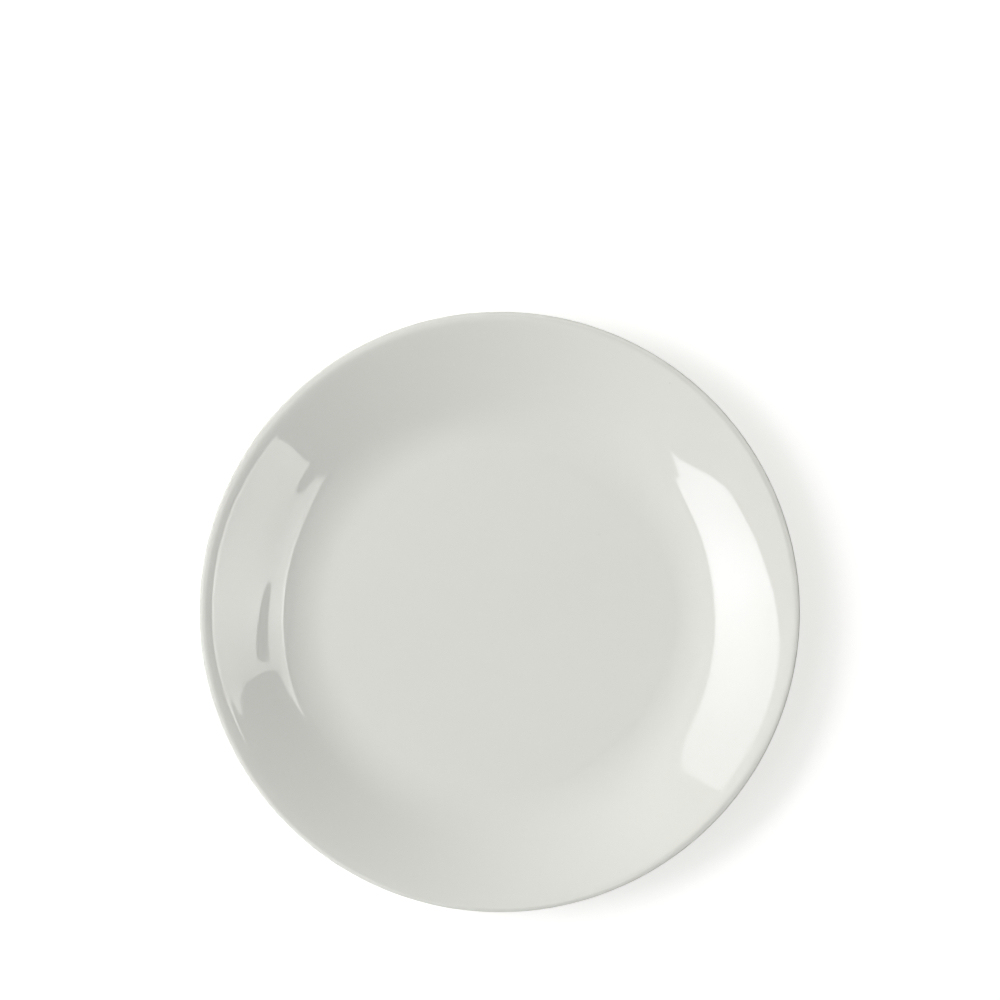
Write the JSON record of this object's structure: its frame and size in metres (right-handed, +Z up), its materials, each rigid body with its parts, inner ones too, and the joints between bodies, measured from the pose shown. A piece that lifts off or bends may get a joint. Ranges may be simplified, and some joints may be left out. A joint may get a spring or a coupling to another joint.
{
  "type": "side plate",
  "caption": "Round glazed ceramic side plate with a flat well, a straight flared rim, a rolled lip and a bare foot ring to stand on.",
  "frame": {"origin": "on the surface that the plate stands on, at the centre of the foot ring", "axes": "+Z up along the plate's axis of revolution, +X and +Y across the plate"},
  "size_m": [0.2, 0.2, 0.018],
  "materials": {
    "bare_clay": "matt, fine-grained fired clay",
    "glaze": "glossy, pale grey-white"
  },
  "bodies": {
    "root": {"clay_body": "bare_clay", "glaze_coat": "glaze", "base_glaze": "glaze"}
  },
  "joints": []
}
